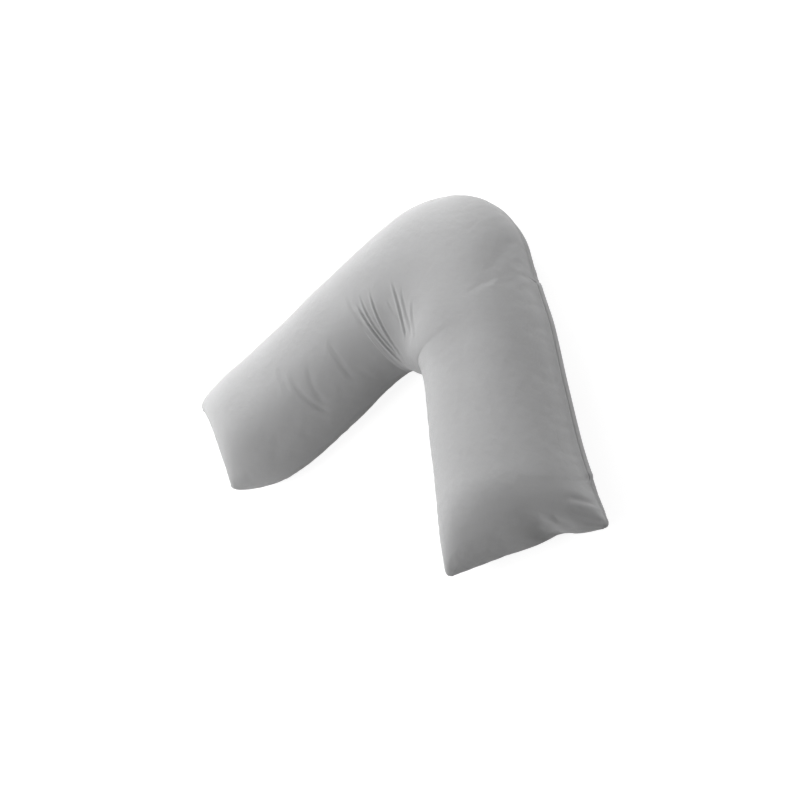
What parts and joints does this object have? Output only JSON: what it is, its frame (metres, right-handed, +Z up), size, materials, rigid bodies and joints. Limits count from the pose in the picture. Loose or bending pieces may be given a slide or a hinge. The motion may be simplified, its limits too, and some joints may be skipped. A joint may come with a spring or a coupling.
{
  "type": "v shaped pillow",
  "caption": "V shaped pillow in a plain grey cover: a filled, crowned cushion with drawn-in seams, gathered in the crook, that holds the head, neck and shoulders.",
  "frame": {"origin": "middle of the pillow's box on the surface that it lies on", "axes": "+Z up through its thickness, +Y towards the point of the V, +X towards the arm whose outer side opens"},
  "size_m": [1.0988, 0.7462, 0.1655],
  "materials": {
    "grey_polycotton": "matte"
  },
  "bodies": {
    "root": {"filled_cover": "grey_polycotton"}
  },
  "joints": []
}
